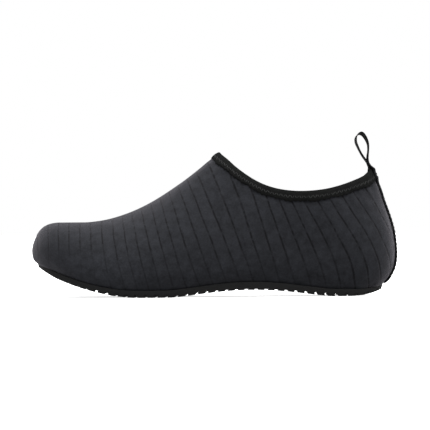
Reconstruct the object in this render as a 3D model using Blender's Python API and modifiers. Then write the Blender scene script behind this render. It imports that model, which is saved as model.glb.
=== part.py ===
"""Slip-on water shoe for the left foot, standing empty on its sole.

Metres, Z up. The toe points to -X and the outer side of the foot to -Y. The lugs under the ball and the heel stand
on Z = 0. The shoe is five pieces: a rubber outsole, a hollow stretch fabric upper, an insole, the elastic binding of
the collar, and one webbing tape that makes the pull loop and covers the heel's back seam.
"""

from math import atan2, cos, pi, radians, sin

import bmesh
import bpy
import numpy as np

# Length and width of the outsole, and the share of its length that lies in front of X = 0
SOLE_LENGTH = 0.2467
BALL_WIDTH = 0.088
HEEL_WIDTH = 0.058
FRONT_SHARE = 0.5168

# Heights of the sole's underside above the floor
TOE_SPRING = 0.0205
ARCH_RISE = 0.0050
HEEL_RISE = 0.0046

# Thicknesses of the sole
LUG_DEPTH = 0.0020
ARCH_LUG_DEPTH = 0.0007
SOLE_BASE = 0.0016
CUP_DEPTH = 0.0016
RIM = 0.0012

# Pattern of the lugs
LUG_PITCH = 0.0072
LUG_LENGTH = 0.0050
LUGS_ACROSS = 6
GROOVE_WIDTH = 0.0028

# Upper, with how full its foot is above the rim, along the sides and at the two ends
WALL = 0.0016
TOE_HEIGHT = 0.0535
SWELL = 0.0050
CORNER = 0.0030
MARGIN = 0.0090
LOWER_FULL = 0.45
END_FULL = 0.66
RIDGE_START = 0.0155
RIDGE_SHIFT = 0.0080

# Collar: heights of its top line at the front, at its lowest point and at the back, how far in front of the sole's
# back end it starts, and its size in plan
COLLAR_FRONT_HEIGHT = 0.1040
COLLAR_SIDE_HEIGHT = 0.0751
COLLAR_BACK_HEIGHT = 0.0885
COLLAR_START = 0.1160
COLLAR_LENGTH = 0.1094
COLLAR_WIDTH = 0.0610

# Low peak of the top line at the back, where the tape pulls the collar up, and where along the collar it starts
COLLAR_PEAK = 0.0012
PEAK_START = 0.955

# Share of the collar's length at which its top line is lowest, and how far it leans in there, at its front and at its
# back, in degrees
COLLAR_LOWEST = 0.55
SIDE_LEAN = 14
FRONT_LEAN = 46
BACK_LEAN = 20

# Binding, tape and insole
BINDING_WIDTH = 0.0055
BINDING = 0.0009
TAPE_WIDTH = 0.0120
TAPE = 0.0011
TAPE_TUCK = 0.0120
LOOP_HEIGHT = 0.0269
INSOLE = 0.0032
INSOLE_DISH = 0.0006
INSOLE_EDGE = 0.0016
INSOLE_CLEAR = 0.0015

# Clearance between pieces that touch
FIT = 0.0003

# Shares of the sole's length, from the toe, where its underside changes
TIP_BREAK = 0.05
TOE_BREAK = 0.30
ARCH_FRONT = 0.3805
ARCH_BACK = 0.859
HEEL_BREAK = 0.90

# Sections from toe to heel, one row for each pair of columns up the outer and the inner side of the foot.
# along: share of the sole's length. outer, inner: sole outline, share of the local half width. widest: height of the
# widest point, share of the toe's height. swell_outer, swell_inner: how far the upper stands out past the sole there,
# share of SWELL. side, crown: how full the column is above the widest point and below its top. top: where the column
# ends, 0 to 1 along the ridge of the foot, then 1 to 2 around the collar. fan: turn of its top in plan, in degrees.
COLUMNS = ("along", "outer", "inner", "widest", "swell_outer", "swell_inner", "side", "crown", "top", "fan")
SECTIONS = (
    (0.000, -0.205, 0.205, 0.636, 0.60, 0.60, 0.75, 0.40, 0.000, 0),
    (0.010, 0.060, 0.530, 0.626, 0.60, 0.60, 0.74, 0.42, 0.018, 35),
    (0.034, 0.325, 0.735, 0.580, 0.56, 0.56, 0.70, 0.46, 0.055, 62),
    (0.078, 0.575, 0.875, 0.486, 0.52, 0.52, 0.62, 0.47, 0.110, 78),
    (0.143, 0.775, 0.965, 0.402, 0.50, 0.50, 0.56, 0.44, 0.200, 86),
    (0.223, 0.930, 1.007, 0.336, 0.50, 0.50, 0.50, 0.39, 0.366, 90),
    (0.311, 1.034, 0.966, 0.318, 0.50, 0.60, 0.47, 0.33, 0.567, 90),
    (0.404, 1.027, 0.841, 0.336, 0.60, 0.90, 0.42, 0.27, 0.777, 90),
    (0.484, 1.061, 0.786, 0.374, 0.80, 1.20, 0.39, 0.24, 0.905, 90),
    (0.536, 1.069, 0.753, 0.402, 0.90, 1.30, 0.38, 0.24, 0.955, 90),
    (0.584, 1.073, 0.749, 0.430, 0.90, 1.30, 0.35, 0.21, 1.194, 90),
    (0.653, 1.098, 0.790, 0.467, 0.85, 1.20, 0.33, 0.25, 1.361, 90),
    (0.725, 1.128, 0.879, 0.477, 0.80, 1.10, 0.33, 0.30, 1.483, 90),
    (0.801, 1.066, 0.914, 0.467, 0.80, 1.00, 0.33, 0.30, 1.600, 90),
    (0.873, 1.021, 0.952, 0.458, 0.90, 0.95, 0.34, 0.30, 1.706, 90),
    (0.930, 0.914, 0.879, 0.477, 1.20, 1.20, 0.36, 0.30, 1.800, 90),
    (0.968, 0.690, 0.672, 0.505, 1.60, 1.60, 0.38, 0.30, 1.872, 90),
    (0.991, 0.379, 0.379, 0.533, 1.90, 1.90, 0.40, 0.30, 1.939, 90),
    (1.000, 0.000, 0.000, 0.542, 2.02, 2.02, 0.40, 0.30, 2.000, 90),
)
LAST = len(SECTIONS) - 1
COLLAR_ROW = 9

# Places on the outline, in rows of the table, between which the lugs run along the side of the sole
SIDE_START = 2.5
SIDE_END = 16.0

# How many strips each gap between two sections is divided into
STRIPS = (3, 3, 3, 2, 2, 2, 2, 2, 2, 3, 3, 2, 2, 2, 3, 3, 3, 3)

# The pull loop from the inside of the collar to its outside, seen from the side. back, up: shares of LOOP_HEIGHT,
# from the top of the collar's back.
LOOP = (
    (-0.112, 0.007),
    (-0.095, 0.067),
    (-0.106, 0.123),
    (-0.132, 0.193),
    (-0.167, 0.268),
    (-0.353, 0.632),
    (-0.405, 0.792),
    (-0.390, 0.918),
    (-0.290, 1.000),
    (-0.186, 0.937),
    (-0.100, 0.777),
    (-0.071, 0.584),
    (-0.080, 0.257),
    (-0.074, 0.193),
    (-0.052, 0.141),
    (-0.007, 0.093),
    (0.061, 0.045),
)
LOOP_TWIST = 0.16


def clamp(value, low=0.0, high=1.0):
    return max(low, min(high, value))


def mix(a, b, share):
    return a + (b - a) * share


def unit(vector):
    return vector / np.linalg.norm(vector)


def bezier(points, t):
    """Point at t on the Bezier curve of any degree through the control points."""
    while len(points) > 1:
        points = [mix(a, b, t) for a, b in zip(points, points[1:])]
    return points[0]


def share_along(x):
    """Place along the sole, 0 at the toe and 1 at the heel."""
    return x / SOLE_LENGTH + FRONT_SHARE


def tip_share(x):
    return clamp(1 - share_along(x) / TIP_BREAK)


def toe_share(x):
    return clamp(1 - share_along(x) / TOE_BREAK)


def arch_share(x):
    place = (share_along(x) - ARCH_FRONT) / (ARCH_BACK - ARCH_FRONT)
    return sin(pi * clamp(place)) ** 1.3


def heel_share(x):
    return clamp((share_along(x) - HEEL_BREAK) / (1 - HEEL_BREAK))


def underside_height(x):
    """Height of the sole's underside: level under the ball and the heel, up at the toe, the arch and the heel's end."""
    return TOE_SPRING * toe_share(x) ** 1.9 + ARCH_RISE * arch_share(x) + HEEL_RISE * heel_share(x) ** 2.2


def floor_height(x):
    """Height of the sole's inner floor, lower towards both ends of the sole."""
    return underside_height(x) + LUG_DEPTH * (1 - 0.35 * toe_share(x) - 0.6 * heel_share(x)) + SOLE_BASE


def groove_height(x):
    """Height of the grooves between the lugs, which are shallower under the arch."""
    return floor_height(x) - SOLE_BASE - (LUG_DEPTH - ARCH_LUG_DEPTH) * arch_share(x)


def lug_tip_height(x):
    """Height of the lug tips, which run out into the tip of the toe."""
    return mix(underside_height(x), groove_height(x), tip_share(x))


def above_floor(point, distance):
    """The point moved to a distance from the sole's inner floor, measured square to it."""
    step = 0.0005
    slope = (floor_height(point[0] + step) - floor_height(point[0] - step)) / (2 * step)
    return np.array((point[0], point[1], floor_height(point[0]) + distance * (1 + slope**2) ** 0.5))


def rim_height(x):
    """Height of the sole's rim, lower at the toe and higher along the arch."""
    return floor_height(x) + CUP_DEPTH * (1 - 0.3 * toe_share(x) + 0.4 * arch_share(x) - 0.55 * heel_share(x))


def control(index):
    """The outline point, widest height, swell and fullness of one section's column, then its top and fan."""
    index = (index + LAST) % (2 * LAST) - LAST
    row = dict(zip(COLUMNS, SECTIONS[abs(index)]))
    blend = clamp((row["along"] - 0.40) / 0.32)
    half = mix(BALL_WIDTH, HEEL_WIDTH, blend) / 2
    if index < 0:
        y, swell = -half * row["outer"], row["swell_outer"]
    else:
        y, swell = half * row["inner"], row["swell_inner"]
    x = (row["along"] - FRONT_SHARE) * SOLE_LENGTH
    curved = (x, y, TOE_HEIGHT * row["widest"], SWELL * swell, row["side"], row["crown"])
    return np.array(curved), np.array((row["top"], radians(row["fan"])))


def loop_values(place):
    """Section values at any place around the foot: 0 at the toe, -LAST to 0 outer side, 0 to LAST inner side."""
    index = int(np.floor(place))
    t = place - index
    before, start, end, after = (control(index + step) for step in (-1, 0, 1, 2))
    curved = 0.5 * (
        2 * start[0]
        + (end[0] - before[0]) * t
        + (2 * before[0] - 5 * start[0] + 4 * end[0] - after[0]) * t**2
        + (3 * start[0] - before[0] - 3 * end[0] + after[0]) * t**3
    )
    return curved, mix(start[1], end[1], t)


def outline(place):
    """Point on the sole's outline in plan, and the direction straight out of it."""
    here = loop_values(place)[0]
    step = 0.02
    along = loop_values(place + step)[0] - loop_values(place - step)[0]
    out = unit(np.array((-along[1], along[0], 0.0)))
    return np.array((here[0], here[1], 0.0)), out


def inner_side(place):
    """1 on the inner side of the foot, -1 on the outer side."""
    wrapped = (place + LAST) % (2 * LAST) - LAST
    return -1 if wrapped < 0 else 1


def collar_line(angle, side):
    """Top line of the collar, from 0 at its front to pi at its back."""
    share = (1 - cos(angle)) / 2
    if share < COLLAR_LOWEST:
        rise = (COLLAR_FRONT_HEIGHT - COLLAR_SIDE_HEIGHT) * (1 - share / COLLAR_LOWEST) ** 2.15
    else:
        behind = (share - COLLAR_LOWEST) / (1 - COLLAR_LOWEST)
        rise = (COLLAR_BACK_HEIGHT - COLLAR_SIDE_HEIGHT) * behind**2
    peak = clamp((share - PEAK_START) / (1 - PEAK_START))
    rise += COLLAR_PEAK * peak**2 * (3 - 2 * peak)
    x = (1 - FRONT_SHARE) * SOLE_LENGTH - COLLAR_START + COLLAR_LENGTH * share
    y = side * COLLAR_WIDTH / 2 * sin(angle)
    return np.array((x, y, COLLAR_SIDE_HEIGHT + rise))


def collar_frame(angle, side):
    """The upper's edge, the way up its surface there, the way out of it, and the way forward along the collar."""
    step = 0.002
    before = collar_line(max(angle - step, 0), side)
    after = collar_line(min(angle + step, pi), side)
    forward = before - after
    if angle < step:
        forward = np.array((0.0, -side, 0.0))
    if angle > pi - step:
        forward = np.array((0.0, side, 0.0))
    inward = unit(np.array((-side * forward[1], side * forward[0], 0.0)))
    front, back = clamp(cos(angle)) ** 1.5, clamp(-cos(angle))
    lean = radians(SIDE_LEAN + (FRONT_LEAN - SIDE_LEAN) * front + (BACK_LEAN - SIDE_LEAN) * back)
    up = inward * sin(lean) + np.array((0, 0, cos(lean)))
    out = -inward * cos(lean) + np.array((0, 0, sin(lean)))
    edge = collar_line(angle, side) - up * (BINDING + FIT)
    return edge, up, out, unit(forward)


def ridge_point(share):
    """Ridge of the upper over the toes and the instep, which ends under the front of the binding."""
    edge, up, _, _ = collar_frame(0.0, 1)
    end = edge - up * BINDING_WIDTH
    start_x = RIDGE_START - FRONT_SHARE * SOLE_LENGTH
    x = mix(start_x, end[0], share)
    rise = clamp((share - 0.155) / 0.845) ** 1.85
    return np.array((x, RIDGE_SHIFT * (1 - share) ** 1.2, mix(TOE_HEIGHT, end[2], rise)))


class Column:
    """One column of the upper's outer surface, from the turned-under margin to the ridge or the binding."""

    def __init__(self, place):
        (_, _, widest, swell, side_share, crown_share), (top, fan) = loop_values(place)
        side = inner_side(place)
        point, out = outline(place)
        rise = np.array((0.0, 0.0, 1.0))
        inside = point - out * (RIM + FIT)
        foot = above_floor(inside - out * CORNER, FIT)
        self.margin = above_floor(foot - out * MARGIN, FIT)
        rim = inside + rise * rim_height(point[0])
        belly = point + out * swell + rise * widest
        reach, climb = swell + RIM + FIT, widest - rim[2]
        full = mix(LOWER_FULL, END_FULL, max(tip_share(point[0]), heel_share(point[0]) ** 2))
        lower = rim + out * full * reach + rise * 0.25 * climb
        slope = (lower - rim) / (lower - rim)[2]
        heel_of_curve = rim - slope * (rim[2] - foot[2])
        self.corner = [foot, heel_of_curve, rim]
        self.lower = [rim, lower, belly - rise * 0.5 * climb, belly]
        if top <= 1:
            end = ridge_point(top)
            away = np.array((-cos(fan), side * sin(fan), 0.0))
        else:
            angle = pi * (top - 1)
            edge, up, _, forward = collar_frame(angle, side)
            end = edge - up * BINDING_WIDTH
            turn = atan2(max(up[0], 0.0), abs(forward[0]))
            away = -(up * cos(turn) + forward * sin(turn))
        shoulder = belly + rise * side_share * (end[2] - belly[2])
        crown = end + away * crown_share * np.linalg.norm(belly - end)
        self.upper = [belly, shoulder, crown, end]

    def point(self, height):
        """Point on the column: 0 to 1 around the corner, to 2 at the widest point, to 3 at the top."""
        if height <= 1:
            return bezier(self.corner, height)
        if height <= 2:
            return bezier(self.lower, height - 1)
        return bezier(self.upper, height - 2)


def side_places():
    """Places of the upper's columns from toe to heel, without a sign for the side."""
    places = [0.0]
    for index, strips in enumerate(STRIPS):
        places += [index + (step + 1) / strips for step in range(strips)]
    return places


def material(name, color, roughness):
    shader = bpy.data.materials.new(name)
    shader.use_nodes = True
    principled = shader.node_tree.nodes["Principled BSDF"]
    principled.inputs["Base Color"].default_value = (*color, 1.0)
    principled.inputs["Roughness"].default_value = roughness
    principled.inputs["Metallic"].default_value = 0.0
    return shader


def finish(name, mesh_data, collection, shader):
    """Makes a named object from a bmesh, shaded smooth up to a moderate angle."""
    mesh = bpy.data.meshes.new(name)
    mesh_data.to_mesh(mesh)
    mesh_data.free()
    mesh.materials.append(shader)
    mesh.shade_smooth()
    mesh.set_sharp_from_angle(angle=radians(35))
    obj = bpy.data.objects.new(name, mesh)
    collection.objects.link(obj)
    return obj


def add_strip(bm, first, second, closed=False):
    """Joins two rows of vertices with faces, leaving out a face's corners that are one vertex."""
    count = len(first)
    for index in range(count if closed else count - 1):
        after = (index + 1) % count
        corners = []
        for vertex in (first[index], first[after], second[after], second[index]):
            if vertex not in corners:
                corners.append(vertex)
        if len(corners) > 2:
            bm.faces.new(corners)


def thicken(obj, thickness, offset):
    solidify = obj.modifiers.new("Wall", "SOLIDIFY")
    solidify.thickness = thickness
    solidify.offset = offset
    solidify.use_rim = True


def collar_angle(place):
    return pi * (loop_values(place)[1][0] - 1)


def collar_places():
    """Places of the columns that end at the collar, along the outer side and back along the inner side."""
    behind = [place for place in side_places() if place > COLLAR_ROW]
    return [-place for place in behind] + behind[-2::-1]


def collar_ring():
    """Frames all around the collar, from its front along the outer side and back along the inner side."""
    frames = [collar_frame(collar_angle(place), inner_side(place)) for place in collar_places()]
    return [collar_frame(0.0, -1)] + frames


def build_upper(collection, shader):
    """Hollow sock of stretch fabric, open at the collar and underneath."""
    bm = bmesh.new()
    heights = (0, 0.5, 1, 4 / 3, 5 / 3, 2, 2.14, 2.3, 2.47, 2.64, 2.8, 2.93)
    places = side_places()
    ridge = {}
    rows = {}
    for side in (-1, 1):
        for place in places:
            single = place in (0.0, float(LAST))
            if single and side > 0:
                rows[side, place] = rows[-1, place]
                continue
            column = Column(side * place)
            points = [column.margin] + [column.point(height) for height in heights]
            vertices = [bm.verts.new(point) for point in points]
            if place <= COLLAR_ROW:
                if place not in ridge:
                    ridge[place] = bm.verts.new(column.point(3))
                vertices.append(ridge[place])
            else:
                vertices.append(bm.verts.new(column.point(3)))
            rows[side, place] = vertices
    for side in (-1, 1):
        for first, second in zip(places, places[1:]):
            pair = (rows[side, second], rows[side, first])
            add_strip(bm, *(pair if side < 0 else reversed(pair)))
    ring = collar_ring()
    edge, up, _, _ = ring[0]
    peak = bm.verts.new(edge - up * BINDING_WIDTH)
    below = [peak] + [rows[inner_side(place), abs(place)][-1] for place in collar_places()]
    bm.faces.new((ridge[COLLAR_ROW], below[1], peak))
    bm.faces.new((ridge[COLLAR_ROW], peak, below[-1]))
    for depth in (BINDING_WIDTH / 2, 0.0):
        level = [bm.verts.new(edge - up * depth) for edge, up, _, _ in ring]
        add_strip(bm, below, level, closed=True)
        below = level
    upper = finish("upper", bm, collection, shader)
    thicken(upper, WALL, -1)
    return upper


def spaced(start, end, shares):
    """Places between two places of the outline, at the given shares of the length between them."""
    steps = 400
    places = [mix(start, end, step / steps) for step in range(steps + 1)]
    points = np.array([loop_values(place)[0][:2] for place in places])
    lengths = np.concatenate(([0], np.cumsum(np.linalg.norm(np.diff(points, axis=0), axis=1))))
    return [float(np.interp(share * lengths[-1], lengths, places)) for share in shares], lengths[-1]


def blocks_and_gaps(count, block, gap):
    """Shares of a length at the ends of each of its blocks, which fill it with a gap between each two."""
    lines = [0.0]
    for index in range(count):
        lines.append(lines[-1] + block)
        if index < count - 1:
            lines.append(lines[-1] + gap)
    return [line / lines[-1] for line in lines]


def between(places, count):
    """Extra places that round the edge of each lug at an end of the sole, and none at its grooves."""
    groups = []
    for step, (start, end) in enumerate(zip(places, places[1:])):
        extra = count if step % 2 == 0 else 0
        groups.append([mix(start, end, (index + 1) / (extra + 1)) for index in range(extra)])
    return groups


def with_between(places, vertices, groups, extras):
    """The border's places and vertices along an end of the sole, with the extra ones in their order."""
    border = []
    for step, (place, vertex) in enumerate(zip(places, vertices)):
        border.append((place, vertex))
        if step < len(groups):
            border += zip(groups[step], extras[step])
    return border


def border_vertex(bm, place):
    point = outline(place)[0]
    return bm.verts.new((point[0], point[1], groove_height(point[0])))


def build_outsole(collection, shader):
    """Rubber cup sole: a grid of the sole's underside with each lug pushed down, a rim around it and a floor."""
    side_length = spaced(-SIDE_START, -SIDE_END, [0])[1]
    lug_rows = round((side_length + LUG_PITCH - LUG_LENGTH) / LUG_PITCH)
    lines = blocks_and_gaps(lug_rows, LUG_LENGTH, LUG_PITCH - LUG_LENGTH)
    lug_width = (BALL_WIDTH - (LUGS_ACROSS - 1) * GROOVE_WIDTH) / LUGS_ACROSS
    across = blocks_and_gaps(LUGS_ACROSS, lug_width, GROOVE_WIDTH)
    outer = spaced(-SIDE_START, -SIDE_END, lines)[0]
    inner = spaced(SIDE_START, SIDE_END, lines)[0]
    toe = spaced(-SIDE_START, SIDE_START, across)[0]
    heel = spaced(-SIDE_END, SIDE_END - 2 * LAST, across)[0]
    toe_between = between(toe, 2)
    heel_between = between(heel, 1)

    def bulge(arc):
        """How far each point of an end arc lies from the straight line between its ends."""
        points = [outline(place)[0] for place in arc]
        return [point - mix(points[0], points[-1], share) for point, share in zip(points, across)]

    toe_bulge, heel_bulge = bulge(toe), bulge(heel)
    bm = bmesh.new()
    grid = []
    for line, outer_place, inner_place in zip(lines, outer, inner):
        ends = outline(outer_place)[0], outline(inner_place)[0]
        near_toe = clamp(1 - line / 0.22) ** 1.3
        near_heel = clamp(1 - (1 - line) / 0.15) ** 1.3
        row = []
        for step, share in enumerate(across):
            point = mix(*ends, share) + toe_bulge[step] * near_toe + heel_bulge[step] * near_heel
            point[2] = groove_height(point[0])
            row.append(bm.verts.new(point))
        grid.append(row)
    toe_extra = [[border_vertex(bm, place) for place in group] for group in toe_between]
    heel_extra = [[border_vertex(bm, place) for place in group] for group in heel_between]
    lugs = []
    last_row = len(lines) - 2
    for row in range(last_row + 1):
        for step in range(len(across) - 1):
            start = toe_extra[step] if row == 0 else []
            end = heel_extra[step] if row == last_row else []
            corners = [grid[row][step], *start, grid[row][step + 1]]
            corners += [grid[row + 1][step + 1], *end[::-1], grid[row + 1][step]]
            face = bm.faces.new(corners)
            if row % 2 == 0 and step % 2 == 0:
                lugs.append(face)

    front_border = with_between(toe, grid[0], toe_between, toe_extra)
    border = front_border + [(place, row[-1]) for place, row in zip(inner[1:-1], grid[1:-1])]
    border += with_between(heel, grid[-1], heel_between, heel_extra)[::-1]
    border += [(place, row[0]) for place, row in zip(outer[1:-1], grid[1:-1])][::-1]
    loops = [[vertex for _, vertex in border], [], [], [], []]
    for place, _ in border:
        point, out = outline(place)
        top = np.array((0, 0, rim_height(point[0])))
        column = Column(place)
        middle = column.point(0.5)
        toward = unit(column.point(0.6) - column.point(0.4))
        beside = out * toward[2] - np.array((0, 0, toward @ out))
        foot = column.point(0) - np.array((0, 0, FIT))
        for loop, corner in zip(loops[1:], (point + top, point - out * RIM + top, middle + beside * FIT, foot)):
            loop.append(bm.verts.new(corner))
    for first, second in zip(loops, loops[1:]):
        add_strip(bm, first, second, closed=True)
    floor = loops[-1]
    half, total = len(front_border) // 2 - 1, len(floor)
    pairs = [(floor[(half - step) % total], floor[half + 1 + step]) for step in range(total // 2)]
    for (first, second), (third, fourth) in zip(pairs, pairs[1:]):
        bm.faces.new((first, second, fourth, third))

    pushed = bmesh.ops.extrude_discrete_faces(bm, faces=lugs)["faces"]
    for face in pushed:
        for vertex in face.verts:
            vertex.co.z = lug_tip_height(vertex.co.x)
    bmesh.ops.recalc_face_normals(bm, faces=bm.faces)
    return finish("outsole", bm, collection, shader)


def build_insole(collection, shader):
    """Footbed that rests on the upper's margin, with a thicker middle that fills the opening in it."""
    bm = bmesh.new()
    places = side_places()[::2]
    ring = places + [-place for place in places[-2:0:-1]]
    bed = FIT + WALL + FIT
    loops = [[], [], [], [], []]
    for place in ring:
        _, out = outline(place)
        rim = Column(place).corner[0]
        levels = (
            (MARGIN + INSOLE_CLEAR, 2 * FIT),
            (MARGIN + INSOLE_CLEAR, bed),
            (INSOLE_EDGE, bed),
            (INSOLE_EDGE, bed + INSOLE),
            (MARGIN, bed + INSOLE - INSOLE_DISH),
        )
        for loop, (inset, lift) in zip(loops, levels):
            loop.append(bm.verts.new(above_floor(rim - out * inset, lift)))
    for first, second in zip(loops, loops[1:]):
        add_strip(bm, first, second, closed=True)
    total = len(ring)
    for loop in (loops[0], loops[-1]):
        for step in range(total // 2):
            corners = []
            for index in (step, step + 1, -step - 1, -step):
                vertex = loop[index % total]
                if vertex not in corners:
                    corners.append(vertex)
            bm.faces.new(corners)
    bmesh.ops.recalc_face_normals(bm, faces=bm.faces)
    return finish("insole", bm, collection, shader)


def build_binding(collection, shader):
    """Elastic folded over the collar's edge, with one leg outside the upper and one inside."""
    inside = -WALL - FIT
    profile = (
        (FIT, -BINDING_WIDTH),
        (FIT + BINDING, -BINDING_WIDTH),
        (FIT + BINDING, FIT + 0.3 * BINDING),
        (-WALL / 2, FIT + BINDING),
        (inside - BINDING, FIT + 0.3 * BINDING),
        (inside - BINDING, -BINDING_WIDTH),
        (inside, -BINDING_WIDTH),
        (inside, FIT),
        (FIT, FIT),
    )
    bm = bmesh.new()
    rings = [[] for _ in profile]
    for edge, up, out, _ in collar_ring():
        for ring, (away, lift) in zip(rings, profile):
            ring.append(bm.verts.new(edge + out * away + up * lift))
    for first, second in zip(rings, rings[1:] + rings[:1]):
        add_strip(bm, first, second, closed=True)
    bmesh.ops.recalc_face_normals(bm, faces=bm.faces)
    return finish("collar_binding", bm, collection, shader)


def place_beside_heel(surface, y):
    """Place near the heel's back seam whose point on the surface has the given Y."""
    low, high = LAST - 3.0, LAST + 3.0
    for _ in range(40):
        middle = (low + high) / 2
        if surface(middle)[1] > y:
            low = middle
        else:
            high = middle
    return low


def build_tape(collection, shader):
    """One webbing tape: sewn inside the collar, up and over as a pull loop, then down the heel's seam to the sole."""
    lanes = [TAPE_WIDTH * share for share in (-0.5, -0.25, 0.0, 0.25, 0.5)]

    def beside_collar(depth, away):
        """A row across the tape beside the collar's band, a depth below its edge and a distance out from it."""

        def surface(place):
            edge, up, out, _ = collar_frame(collar_angle(place), inner_side(place))
            return edge - up * depth + out * away

        return [surface(place_beside_heel(surface, y)) for y in lanes]

    def beside_heel(height):
        """A row across the tape over the heel's surface."""

        def surface(place):
            column = Column(place)
            ahead = column.point(height + 0.01) - column.point(height - 0.01)
            out = outline(place)[1]
            away = unit(out * ahead[2] - np.array((0, 0, ahead @ out)))
            return column.point(height) + away * (FIT + TAPE / 2)

        return [surface(place_beside_heel(surface, y)) for y in lanes]

    inside = -(WALL + BINDING + 3 * FIT + TAPE / 2)
    outside = BINDING + 2 * FIT + TAPE / 2
    rows = [beside_collar(TAPE_TUCK * share, inside) for share in (1.0, 0.75, 0.5, 0.25, 0.0)]
    start, end = rows[-1], beside_collar(0.0, outside)
    back = collar_line(pi, 1)
    for index, (behind, up) in enumerate(LOOP):
        centre = back + np.array((behind, 0.0, up)) * LOOP_HEIGHT
        beside = start if index < len(LOOP) / 2 else end
        sag = clamp(1 - 2.2 * up)
        twist = LOOP_TWIST * clamp(up) ** 2
        row = []
        for lane, y in enumerate(lanes):
            bow = (beside[lane] - beside[2])[0] * sag
            row.append(centre + np.array((bow - 0.7 * twist * y, y, -twist * y)))
        rows.append(row)
    rows.append(end)
    rows += [beside_collar(BINDING_WIDTH * share, outside) for share in (0.35, 0.7, 1.05)]
    rows += [beside_heel(2 + share) for share in (0.93, 0.8, 0.65, 0.5, 0.35, 0.2, 0.05)]
    rows += [beside_heel(1 + share) for share in (0.9, 0.7, 0.5, 0.3, 0.14)]
    bm = bmesh.new()
    levels = [[bm.verts.new(point) for point in row] for row in rows]
    for first, second in zip(levels, levels[1:]):
        add_strip(bm, first, second)
    tape = finish("heel_pull_tape", bm, collection, shader)
    thicken(tape, TAPE, 0)
    return tape


def main():
    for obj in list(bpy.data.objects):
        bpy.data.objects.remove(obj, do_unlink=True)
    collection = bpy.data.collections.new("water_shoe")
    bpy.context.scene.collection.children.link(collection)
    rubber = material("black_rubber", (0.012, 0.012, 0.013), 0.75)
    stretch = material("charcoal_stretch_fabric", (0.030, 0.031, 0.034), 0.9)
    lining = material("dark_insole_fabric", (0.020, 0.020, 0.022), 0.95)
    elastic = material("black_elastic", (0.010, 0.011, 0.011), 0.8)
    webbing = material("black_webbing", (0.016, 0.016, 0.018), 0.7)
    build_outsole(collection, rubber)
    build_upper(collection, stretch)
    build_insole(collection, lining)
    build_binding(collection, elastic)
    build_tape(collection, webbing)


main()
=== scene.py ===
"""Slip-on water shoe: cloth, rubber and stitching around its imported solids.

Metres, Z up, toe to -X. The outer side of this left shoe faces the camera, at -Y.
"""

from math import cos, pi, radians, sin

import bmesh
import bpy
import numpy as np
from mathutils import Matrix, Vector


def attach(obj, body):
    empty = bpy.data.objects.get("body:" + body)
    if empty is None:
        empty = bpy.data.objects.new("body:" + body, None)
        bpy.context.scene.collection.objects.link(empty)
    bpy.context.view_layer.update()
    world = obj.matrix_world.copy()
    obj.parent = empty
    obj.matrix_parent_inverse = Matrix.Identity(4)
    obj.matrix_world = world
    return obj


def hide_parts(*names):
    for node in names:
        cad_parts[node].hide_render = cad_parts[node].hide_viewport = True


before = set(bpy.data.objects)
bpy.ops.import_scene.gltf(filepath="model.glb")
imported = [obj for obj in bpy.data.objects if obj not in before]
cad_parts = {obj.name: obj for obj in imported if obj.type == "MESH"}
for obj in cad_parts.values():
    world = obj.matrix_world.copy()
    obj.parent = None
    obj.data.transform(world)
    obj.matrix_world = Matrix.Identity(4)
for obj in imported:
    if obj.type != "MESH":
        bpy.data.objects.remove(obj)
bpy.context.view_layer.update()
scene = bpy.context.scene

# Sizes shared with the solids
SOLE_LENGTH = 0.2467
FRONT_SHARE = 0.5168
WALL = 0.0016
FIT = 0.0003
BINDING = 0.0009
BINDING_WIDTH = 0.0055
TAPE_WIDTH = 0.0120
COLLAR_FRONT_HEIGHT = 0.1040
COLLAR_SIDE_HEIGHT = 0.0751
COLLAR_BACK_HEIGHT = 0.0885
COLLAR_START = 0.1160
COLLAR_LENGTH = 0.1094
COLLAR_WIDTH = 0.0610
COLLAR_LOWEST = 0.55
COLLAR_PEAK = 0.0012
PEAK_START = 0.955
SIDE_LEAN, FRONT_LEAN, BACK_LEAN = 14, 46, 20

# Pressed lines in the cloth, and the pitch between two of them. The chart has every third line, and each of
# the last ones at the heel: a line's number, then its X at each height above the floor, in millimetres.
LINE_PITCH = 0.0077
LINE_HEIGHTS = (10, 30, 50, 70, 90)
LINES = {
    1: (-118, -119, -120, -120, -120),
    4: (-94, -96, -97, -98, -99),
    7: (-65, -70, -73, -75, -77),
    10: (-40, -45, -50, -54, -57),
    13: (-12, -19, -25, -31, -37),
    16: (18, 11, 3, -5, -13),
    19: (46, 40, 34, 28, 21),
    22: (78, 72, 63, 54, 46),
    25: (109, 105, 93, 82, 72),
    26: (118, 115, 104, 92, 82),
    27: (124, 123, 115, 101, 90),
    28: (134, 131, 123, 112, 100),
}


# Hand tools


def pick(*objects):
    bpy.ops.object.select_all(action="DESELECT")
    for obj in objects:
        obj.select_set(True)
    bpy.context.view_layer.objects.active = objects[0]


def open_mesh(obj, selected=True):
    pick(obj)
    bpy.ops.object.mode_set(mode="EDIT")
    bpy.ops.mesh.select_all(action="SELECT" if selected else "DESELECT")


def close_mesh():
    bpy.ops.object.mode_set(mode="OBJECT")


def apply_modifier(obj, kind, **settings):
    modifier = obj.modifiers.new(kind.title(), kind)
    for name, value in settings.items():
        setattr(modifier, name, value)
    pick(obj)
    bpy.ops.object.modifier_apply(modifier=modifier.name)


def points_of(obj):
    points = np.empty(len(obj.data.vertices) * 3)
    obj.data.vertices.foreach_get("co", points)
    return points.reshape(-1, 3)


def move_points(obj, points):
    obj.data.vertices.foreach_set("co", points.ravel())
    obj.data.update()


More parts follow.
